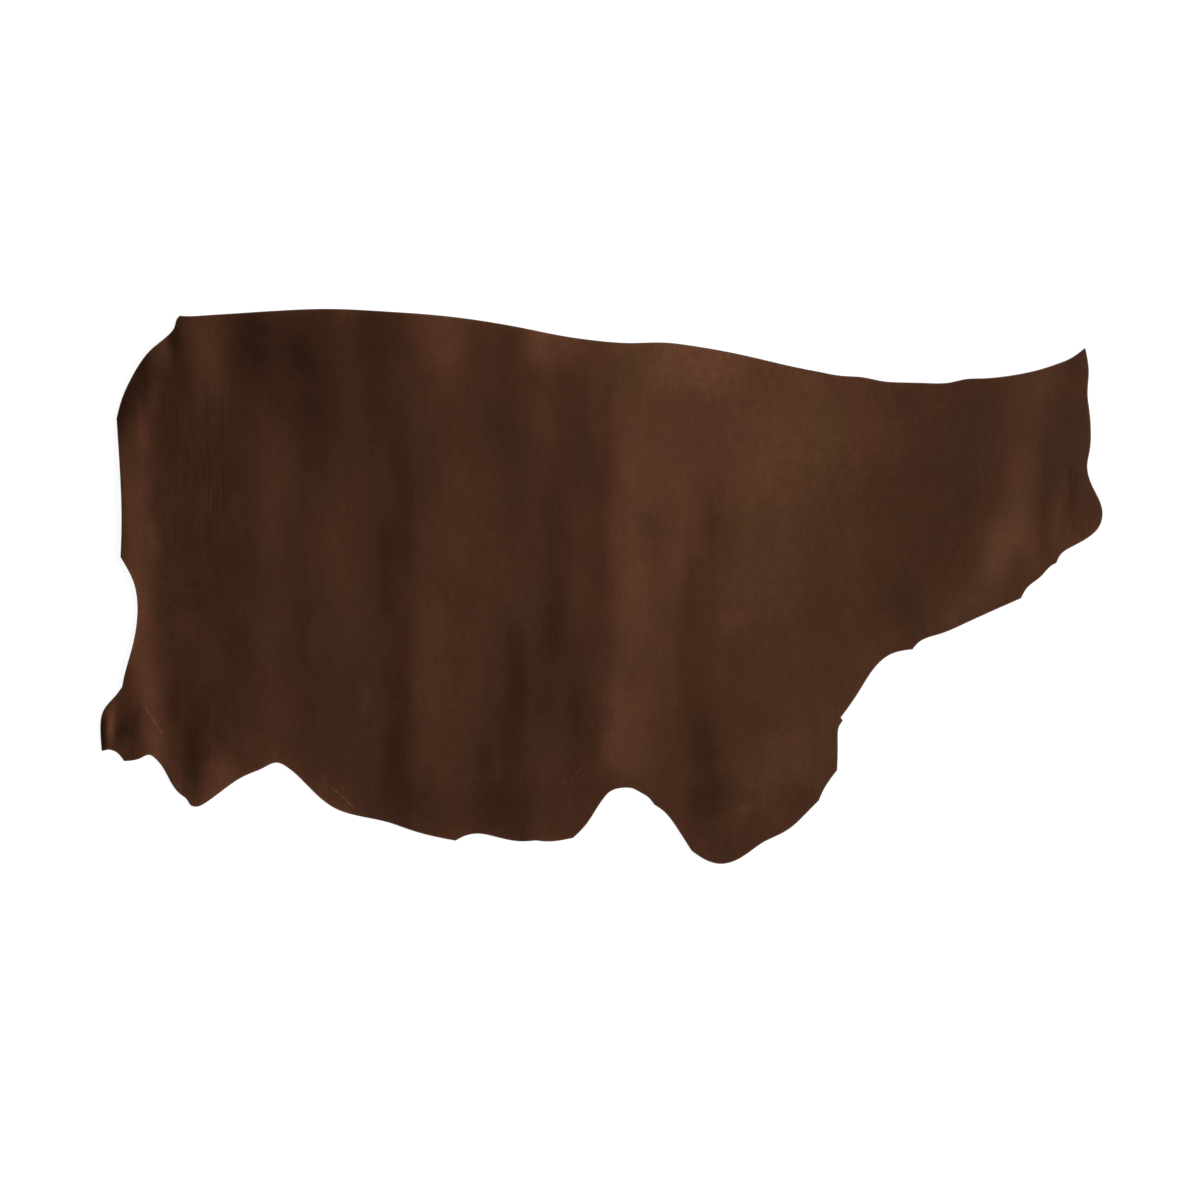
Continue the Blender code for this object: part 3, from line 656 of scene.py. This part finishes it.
def distance_to(points, ring):
    nearest = np.full(len(points), np.inf)
    for a, b in zip(ring, np.roll(ring, -1, axis=0)):
        way = b - a
        share = np.clip(((points - a) @ way) / (way @ way), 0.0, 1.0)
        gap = points - a - share[:, None] * way
        nearest = np.minimum(nearest, gap[:, 0] ** 2 + gap[:, 1] ** 2)
    return np.sqrt(nearest)


def staggered(ring, across, along):
    """A staggered grid inside the ring, in drawing units, clear of it by half a step."""
    step_u, step_v = across / UNIT, along / UNIT
    low, high = ring.min(axis=0), ring.max(axis=0)
    rows = np.arange(low[1] + step_v / 2, high[1], step_v)
    columns = np.arange(low[0] + step_u / 2, high[0], step_u)
    u, v = np.meshgrid(columns, rows)
    u = u + np.where(np.arange(len(rows)) % 2, step_u / 2, 0.0)[:, None]
    points = np.stack([u.ravel(), v.ravel()], axis=1)
    points = points[inside(points, ring)]
    return points


def skin(ring, inner, squeeze):
    """Triangles over a closed ring and the points inside it. The ring's points come first."""
    flat = np.concatenate([ring, inner])
    around = [(i, (i + 1) % len(ring)) for i in range(len(ring))]
    squeezed = [Vector((p[0], -p[1] * squeeze)) for p in flat]
    verts, _, faces, origins, _, _ = delaunay_2d_cdt(squeezed, around, [], 1, 1e-6)
    home = [source[0] for source in origins]
    return flat, [tuple(home[i] for i in face) for face in faces]


# The cut edge from the grain side down to the flesh side: how far in from the outline, and how
# high above the flesh side, as a share of the thickness. The blade leaves the grain side's arris
# a little rounded, and fibres stand out a little below the middle.
EDGE_PROFILE = ((0.0019, 1.0), (0.0008, 0.975), (0.00015, 0.88), (0.0, 0.62), (-0.0001, 0.38), (0.0003, 0.1), (0.0013, 0.0))


def grain_height(u, v):
    """The grain side's own unevenness over the sheet's even thickness, in metres."""
    swells = unevenness(u, v, 26, 60, 11) + 0.6 * unevenness(u, v, 13, 34, 12)
    streaks = unevenness(u, v, 4.6, 42, 13) + 0.7 * unevenness(u, v, 8.5, 70, 14)
    streaky = soft_step(unevenness(u, v, 120, 110, 15) * 0.9 + 0.5)
    mottle = unevenness(u, v, 5.5, 6.5, 16)
    return 0.00011 * swells + 0.00002 * streaks * (0.35 + streaky) + 0.000008 * mottle


def build_hide():
    ring = outline(EDGE_STEP / UNIT)
    low, high = ring.min(axis=0), ring.max(axis=0)
    middle = (low + high) / 2
    into = inward(ring)

    steps = [ring + into * (inset / UNIT) for inset, _ in EDGE_PROFILE]
    top_ring, foot_ring = steps[0], steps[-1]

    grid = staggered(ring, GRAIN_ACROSS, GRAIN_ALONG)
    grid = grid[distance_to(grid, ring) > (EDGE_PROFILE[0][0] + 0.0024) / UNIT]
    for scar in SCARS:
        line, _ = scar_line(scar, 2.0)
        near = distance_box(grid, line, 4.0)
        gap, _ = distance_along(grid[near], line)
        keep = np.ones(len(grid), bool)
        keep[np.where(near)[0]] = gap * UNIT > 0.0048
        grid = grid[keep]
        line, across = scar_line(scar, 0.0032 / UNIT)
        rows = np.concatenate([line + across * row / UNIT for row in SCAR_ROWS])
        rows = rows[inside(rows, top_ring)]
        rows = rows[distance_to(rows, top_ring) > 0.0014 / UNIT]
        grid = np.concatenate([grid, rows])
    grain_flat, grain_faces = skin(top_ring, grid, GRAIN_ACROSS / GRAIN_ALONG)

    coarse = staggered(ring, FLESH_ACROSS, FLESH_ALONG)
    coarse = coarse[distance_to(coarse, ring) > 0.0062 / UNIT]
    flesh_flat, flesh_faces = skin(foot_ring, coarse, FLESH_ACROSS / FLESH_ALONG)

    count = len(ring)
    plan, height, faces, finish = [], [], [], []
    lift, _ = scar_depth(grain_flat)
    base = stand_off(*grain_flat.T)
    plan.append(grain_flat)
    height.append(base + THICKNESS + grain_height(*grain_flat.T) + lift)
    faces.extend(grain_faces)
    finish.extend([0] * len(grain_faces))

    rings = [np.arange(count)]
    at = len(grain_flat)
    fray = unevenness(*ring.T, 2.3, 2.3, 21)
    for inset, share in EDGE_PROFILE[1:-1]:
        here = ring + into * ((inset + 0.00012 * fray * (1 - share)) / UNIT)[:, None]
        plan.append(here)
        height.append(stand_off(*here.T) + THICKNESS * share)
        rings.append(np.arange(at, at + count))
        at += count
    plan.append(flesh_flat)
    nap = 0.00008 * (1 + unevenness(*flesh_flat.T, 7, 9, 22))
    height.append(stand_off(*flesh_flat.T) + nap)
    rings.append(np.arange(at, at + count))
    flesh_start = at
    faces.extend(tuple(i + at for i in reversed(face)) for face in flesh_faces)
    finish.extend([1] * len(flesh_faces))
    for upper, lower in zip(rings, rings[1:]):
        after_upper, after_lower = np.roll(upper, -1), np.roll(lower, -1)
        for a, b, c, d in zip(upper, after_upper, after_lower, lower):
            faces.append((int(a), int(b), int(c), int(d)))
            finish.append(2)

    plan, height = np.concatenate(plan), np.concatenate(height)
    points = np.stack(
        [(plan[:, 0] - middle[0]) * UNIT, (middle[1] - plan[:, 1]) * UNIT, height], axis=1
    )
    mesh = bpy.data.meshes.new("leather_side")
    mesh.from_pydata(points.tolist(), [], faces)
    mesh.update()
    top = np.array([mesh.polygons[i].normal.z for i in range(0, len(grain_faces), 997)])
    if top.mean() < 0:
        mesh.flip_normals()
    mesh.shade_smooth()

    side = bpy.data.objects.new("leather_side", mesh)
    bpy.context.scene.collection.objects.link(side)
    mesh.polygons.foreach_set("material_index", np.array(finish, dtype=np.int32))

    _, pale = scar_depth(plan)
    pale[flesh_start:] = 0.0
    brink = distance_to(plan, ring) * UNIT
    spread = {
        # The tone attribute carries the painted light and shade from the zone tables. It also holds the dye's
        # own unevenness and the paler margin.
        "tone": zoned(PAINTED_LIGHT_AND_DYE, *plan.T) + zoned(BORDERED, *plan.T) * np.exp(-brink / MARGIN),
        "streaked": zoned(STREAKED, *plan.T),
        "mottled": zoned(MOTTLED, *plan.T),
        "olive": zoned(OLIVE, *plan.T),
        "scar": pale,
        "brink": brink,
    }
    for name, values in spread.items():
        mesh.attributes.new(name, "FLOAT", "POINT").data.foreach_set("value", values.astype(np.float32))
    lay_out_map(mesh, points, flesh_start)
    return side


def lay_out_map(mesh, points, flesh_start):
    """A flat map for the two faces: the grain side over the flesh side, each as it lies."""
    span = points[:, 0].max() - points[:, 0].min() + 0.02
    tall = points[:, 1].max() - points[:, 1].min() + 0.02
    x, y = (points[:, 0] - points[:, 0].min() + 0.01) / span, (points[:, 1] - points[:, 1].min() + 0.01) / span
    share = (1 - tall / span) / (tall / span) * 0.98
    corners = np.zeros(len(mesh.loops), np.int32)
    mesh.loops.foreach_get("vertex_index", corners)
    slots = np.zeros(len(mesh.polygons), np.int32)
    mesh.polygons.foreach_get("material_index", slots)
    totals = np.zeros(len(mesh.polygons), np.int32)
    mesh.polygons.foreach_get("loop_total", totals)
    below = np.repeat(slots, totals) == 1
    place = np.stack([x[corners], y[corners] + 1 - tall / span], axis=1)
    place[below] = np.stack([(1 - x[corners[below]]) * share, y[corners[below]] * share], axis=1)
    layer = mesh.uv_layers.new(name="OFBake")
    layer.data.foreach_set("uv", place.astype(np.float32).ravel())


class Nodes:
    """A short way to write a material's node tree."""

    def __init__(self, name):
        self.material = bpy.data.materials.new(name)
        self.material.use_nodes = True
        self.tree = self.material.node_tree
        self.shader = self.tree.nodes["Principled BSDF"]
        self.where = self.tree.nodes.new("ShaderNodeTexCoord").outputs["Object"]

    def link(self, value, socket):
        if isinstance(value, bpy.types.NodeSocket):
            self.tree.links.new(value, socket)
        else:
            socket.default_value = value

    def math(self, operation, a, b=0.0, c=0.0, clamp=False):
        node = self.tree.nodes.new("ShaderNodeMath")
        node.operation = operation
        node.use_clamp = clamp
        for value, socket in zip((a, b, c), node.inputs):
            self.link(value, socket)
        return node.outputs[0]

    def add(self, *terms):
        total = terms[0]
        for term in terms[1:]:
            total = self.math("ADD", total, term)
        return total

    def attribute(self, name):
        node = self.tree.nodes.new("ShaderNodeAttribute")
        node.attribute_name = name
        return node.outputs["Fac"]

    def stretched(self, size_x, size_y, shift=0.0):
        """The place on the leather, counted in patches of size_x by size_y metres."""
        node = self.tree.nodes.new("ShaderNodeMapping")
        self.link(self.where, node.inputs["Vector"])
        node.inputs["Scale"].default_value = (1 / size_x, 1 / size_y, 1 / min(size_x, size_y))
        node.inputs["Location"].default_value = (shift, shift * 1.7, 0.0)
        return node.outputs[0]

    def noise(self, size_x, size_y, shift, detail=2.0, rough=0.5, twist=0.0):
        """Soft chance values round 0, about -0.5 to 0.5."""
        node = self.tree.nodes.new("ShaderNodeTexNoise")
        self.link(self.stretched(size_x, size_y, shift), node.inputs["Vector"])
        node.inputs["Scale"].default_value = 1.0
        node.inputs["Detail"].default_value = detail
        node.inputs["Roughness"].default_value = rough
        node.inputs["Distortion"].default_value = twist
        return self.math("SUBTRACT", node.outputs["Fac"], 0.5)

    def cells(self, size_x, size_y, shift, feature="F1"):
        node = self.tree.nodes.new("ShaderNodeTexVoronoi")
        node.feature = feature
        self.link(self.stretched(size_x, size_y, shift), node.inputs["Vector"])
        node.inputs["Scale"].default_value = 1.0
        return node.outputs["Distance"]

    def between(self, value, low, high):
        """0 up to low, 1 from high on, and a soft run between them."""
        node = self.tree.nodes.new("ShaderNodeMapRange")
        node.interpolation_type = "SMOOTHSTEP"
        self.link(value, node.inputs["Value"])
        node.inputs["From Min"].default_value = low
        node.inputs["From Max"].default_value = high
        return node.outputs["Result"]

    def mix(self, share, a, b):
        node = self.tree.nodes.new("ShaderNodeMix")
        node.data_type = "RGBA"
        self.link(share, node.inputs["Factor"])
        for value, socket in ((a, node.inputs["A"]), (b, node.inputs["B"])):
            self.link(value if isinstance(value, bpy.types.NodeSocket) else (*value, 1.0), socket)
        return node.outputs["Result"]

    def scaled(self, colour, amount):
        node = self.tree.nodes.new("ShaderNodeVectorMath")
        node.operation = "SCALE"
        self.link(colour, node.inputs[0])
        self.link(amount, node.inputs["Scale"])
        return node.outputs[0]

    def bump(self, height, strength, distance, under=None):
        node = self.tree.nodes.new("ShaderNodeBump")
        self.link(height, node.inputs["Height"])
        node.inputs["Strength"].default_value = strength
        node.inputs["Distance"].default_value = distance
        if under is not None:
            self.link(under, node.inputs["Normal"])
        return node.outputs[0]

    def wear(self, **values):
        for name, value in values.items():
            self.link(value, self.shader.inputs[name.replace("_", " ")])
        return self.material


def grain_side():
    """The dyed and lightly waxed side: pebbled grain, pores, cloudy dye with painted light and shade over the
    folds, a soft low sheen.
    """
    n = Nodes("grain_side")
    clouds = n.noise(0.150, 0.260, 3.1, 3.0, 0.55, 0.3)
    blotches = n.noise(0.045, 0.075, 7.7, 3.0, 0.6, 0.5)
    mottle = n.noise(0.013, 0.019, 1.3, 3.0, 0.6, 0.4)
    patina = n.noise(0.022, 0.060, 17.3, 2.0, 0.5, 0.8)
    strokes = n.noise(0.0078, 0.080, 5.9, 2.0, 0.55, 0.35)
    streaks = n.noise(0.0050, 0.140, 11.9, 2.0, 0.6)
    pebbles = n.cells(0.00125, 0.00145, 2.2)
    creases = n.cells(0.0029, 0.0036, 4.4, "DISTANCE_TO_EDGE")
    pores = n.between(n.cells(0.0026, 0.0030, 6.6), 0.16, 0.05)
    fine = n.noise(0.0022, 0.0026, 8.8, 4.0, 0.7)
    specks = n.between(n.cells(0.052, 0.061, 12.5), 0.034, 0.018)
    cloudier = n.add(1.0, n.math("MULTIPLY", n.attribute("mottled"), 1.3))
    streaked = n.attribute("streaked")
    scar = n.attribute("scar")

    # The tone attribute brings in the painted light and shade. The noises and marks added to it are the
    # leather's own.
    tone = n.add(
        n.attribute("tone"),
        n.math("MULTIPLY", clouds, 0.22),
        n.math("MULTIPLY", blotches, 0.20),
        n.math("MULTIPLY", n.math("MULTIPLY", mottle, cloudier), 0.34),
        n.math("MULTIPLY", patina, 0.20),
        n.math("MULTIPLY", n.between(strokes, 0.03, 0.20), n.math("MULTIPLY", streaked, -0.32)),
        n.math("MULTIPLY", streaks, n.add(0.05, n.math("MULTIPLY", streaked, 0.10))),
        n.math("MULTIPLY", fine, 0.06),
        n.math("MULTIPLY", pores, -0.06),
        n.math("MULTIPLY", specks, -0.16),
        n.math("MULTIPLY", scar, 0.75),
    )
    worn_edge = n.between(n.attribute("brink"), 0.0055, 0.0008)
    tone = n.add(tone, n.math("MULTIPLY", worn_edge, 0.20))
    hue = n.between(n.noise(0.120, 0.200, 15.2, 3.0, 0.6, 0.4), -0.30, 0.30)
    dye = n.mix(hue, DYE_WARM, DYE_COOL)
    dye = n.mix(n.math("MULTIPLY", n.attribute("olive"), 1.0, clamp=True), dye, DYE_OLIVE)
    dye = n.mix(n.math("MULTIPLY", scar, 1.0, clamp=True), dye, DYE_SCARRED)
    colour = n.scaled(dye, n.math("EXPONENT", tone))

    gloss = n.add(
        0.70,
        n.math("MULTIPLY", clouds, -0.10),
        n.math("MULTIPLY", mottle, 0.12),
        n.math("MULTIPLY", fine, 0.14),
        n.math("MULTIPLY", scar, 0.12),
    )
    grain = n.add(
        n.math("MULTIPLY", pebbles, -0.55),
        n.math("MULTIPLY", n.between(creases, 0.0, 0.12), 0.35),
        n.math("MULTIPLY", fine, 0.60),
        n.math("MULTIPLY", pores, -0.50),
    )
    relief = n.bump(n.add(mottle, n.math("MULTIPLY", strokes, streaked)), 0.35, 0.0010)
    relief = n.bump(grain, 0.55, 0.00030, relief)
    return n.wear(
        Base_Color=colour,
        Roughness=gloss,
        Normal=relief,
        Specular_IOR_Level=SHINE,
        Specular_Tint=SHINE_TINT,
    )


def flesh_side():
    """The underside: split fibres in a short matt nap, paler, with brushed patches and veins."""
    n = Nodes("flesh_side")
    clouds = n.noise(0.180, 0.220, 21.0, 3.0, 0.6, 0.4)
    fibres = n.noise(0.0011, 0.0065, 23.0, 4.0, 0.7, 1.2)
    tufts = n.noise(0.0042, 0.0050, 25.0, 4.0, 0.7, 0.6)
    veins = n.between(n.math("ABSOLUTE", n.noise(0.110, 0.160, 27.0, 2.0, 0.5, 1.5)), 0.012, 0.0)
    brushed = n.between(n.noise(0.055, 0.120, 29.0, 3.0, 0.6, 1.0), -0.06, 0.06)
    tone = n.add(
        n.math("MULTIPLY", clouds, 0.60),
        n.math("MULTIPLY", brushed, 0.22),
        n.math("MULTIPLY", fibres, 0.40),
        n.math("MULTIPLY", tufts, 0.35),
        n.math("MULTIPLY", veins, -0.24),
    )
    nap = n.mix(n.between(tufts, -0.15, 0.2), (0.098, 0.050, 0.030), (0.142, 0.080, 0.050))
    relief = n.bump(n.add(n.math("MULTIPLY", fibres, 0.7), tufts), 0.8, 0.0008)
    return n.wear(
        Base_Color=n.scaled(nap, n.math("EXPONENT", tone)),
        Roughness=n.add(0.88, n.math("MULTIPLY", tufts, 0.12)),
        Normal=relief,
        Specular_IOR_Level=0.2,
        Sheen_Weight=0.25,
        Sheen_Roughness=0.5,
        Sheen_Tint=(0.62, 0.46, 0.36, 1.0),
    )


def cut_edge():
    """The trimmed edge: dye struck through the grain, a paler raw core of packed fibres."""
    n = Nodes("cut_edge")
    fibres = n.noise(0.0009, 0.0009, 31.0, 4.0, 0.7, 0.8)
    patches = n.noise(0.030, 0.030, 33.0, 3.0, 0.6)
    tone = n.add(n.math("MULTIPLY", fibres, 0.55), n.math("MULTIPLY", patches, 0.35))
    core = n.mix(n.between(fibres, -0.2, 0.25), (0.062, 0.028, 0.016), (0.096, 0.050, 0.029))
    return n.wear(
        Base_Color=n.scaled(core, n.math("EXPONENT", tone)),
        Roughness=n.add(0.78, n.math("MULTIPLY", fibres, 0.2)),
        Normal=n.bump(fibres, 0.8, 0.0004),
        Specular_IOR_Level=0.3,
    )


def pale_floor():
    """A light table: white glass lit from beneath, on which thin things throw only faint shadows."""
    n = Nodes("pale_floor")
    n.wear(
        Base_Color=(0.14, 0.14, 0.14, 1.0),
        Roughness=0.85,
        Specular_IOR_Level=0.1,
        Emission_Color=(1.0, 1.0, 1.0, 1.0),
        Emission_Strength=FLOOR_GLOW,
    )
    mesh = bpy.data.meshes.new("studio_floor")
    half = 24.0
    mesh.from_pydata(
        [(-half, -half, FLOOR), (half, -half, FLOOR), (half, half, FLOOR), (-half, half, FLOOR)],
        [],
        [(0, 1, 2, 3)],
    )
    mesh.materials.append(n.material)
    floor = bpy.data.objects.new("studio_floor", mesh)
    bpy.context.scene.collection.objects.link(floor)
    return floor


def studio_light():
    """A broad soft key from beyond the neck, low enough to show the ridges, and a dim dome."""
    key = bpy.data.lights.new("key", "SUN")
    key.energy = KEY_POWER
    key.angle = math.radians(KEY_WIDTH)
    key.color = (1.0, 0.995, 0.988)
    lamp = bpy.data.objects.new("key", key)
    lamp.rotation_euler = (0.0, math.radians(90 - KEY_HEIGHT), math.radians(KEY_TURN))
    bpy.context.scene.collection.objects.link(lamp)

    world = bpy.data.worlds.new("studio")
    bpy.context.scene.world = world
    world.use_nodes = True
    nodes, links = world.node_tree.nodes, world.node_tree.links
    nodes.clear()
    out = nodes.new("ShaderNodeOutputWorld")
    seen, dome, choose = nodes.new("ShaderNodeBackground"), nodes.new("ShaderNodeBackground"), nodes.new("ShaderNodeMixShader")
    path = nodes.new("ShaderNodeLightPath")
    seen.inputs["Color"].default_value = (1.0, 1.0, 1.0, 1.0)
    links.new(path.outputs["Is Camera Ray"], choose.inputs["Fac"])
    links.new(dome.outputs[0], choose.inputs[1])
    links.new(seen.outputs[0], choose.inputs[2])
    links.new(choose.outputs[0], out.inputs["Surface"])
    way = nodes.new("ShaderNodeTexCoord")
    split = nodes.new("ShaderNodeSeparateXYZ")
    links.new(way.outputs["Generated"], split.inputs[0])
    rise = nodes.new("ShaderNodeMapRange")
    rise.interpolation_type = "SMOOTHSTEP"
    links.new(split.outputs["Z"], rise.inputs["Value"])
    rise.inputs["From Min"].default_value = 0.0
    rise.inputs["From Max"].default_value = 0.9
    rise.inputs["To Min"].default_value = DOME_LOW
    rise.inputs["To Max"].default_value = DOME_TOP
    links.new(rise.outputs["Result"], dome.inputs["Strength"])
    dome.inputs["Color"].default_value = (1.0, 1.0, 1.0, 1.0)


def overhead_camera(low, high):
    """Straight above the side, as high as takes in FRAME_WIDTH of the leather's plane."""
    camera = bpy.data.cameras.new("overhead")
    camera.lens, camera.sensor_width = 85.0, 36.0
    camera.clip_end = 60.0
    above = FRAME_WIDTH * camera.lens / camera.sensor_width
    eye = bpy.data.objects.new("overhead", camera)
    # The side sits a little above the middle of the frame.
    eye.location = (CAMERA_X, CAMERA_Y, THICKNESS + above)
    bpy.context.scene.collection.objects.link(eye)
    bpy.context.scene.camera = eye


FLOOR = -0.0004
FLOOR_GLOW = 0.93
DYE_WARM = (0.0479, 0.0173, 0.0089)
DYE_COOL = (0.0454, 0.0181, 0.0096)
DYE_OLIVE = (0.0431, 0.0189, 0.0085)
DYE_SCARRED = (0.0462, 0.0219, 0.0127)
SHINE = 0.07
SHINE_TINT = (1.0, 0.70, 0.38, 1.0)
KEY_POWER = 8.9
KEY_WIDTH = 24.0
KEY_HEIGHT = 19.0
KEY_TURN = 4.0
DOME_LOW, DOME_TOP = 0.40, 0.10
CAMERA_X, CAMERA_Y = -0.0034, -0.0306
FRAME_WIDTH = 2.686

side = build_hide()
for finish in (grain_side(), flesh_side(), cut_edge()):
    side.data.materials.append(finish)

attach(side, "root")
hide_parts("hide")

pale_floor()
studio_light()
overhead_camera(cad_low, cad_high)

scene = bpy.context.scene
scene.view_settings.view_transform = "Standard"
scene.view_settings.look = "None"
scene.view_settings.exposure = 0.0
scene.view_settings.gamma = 1.0
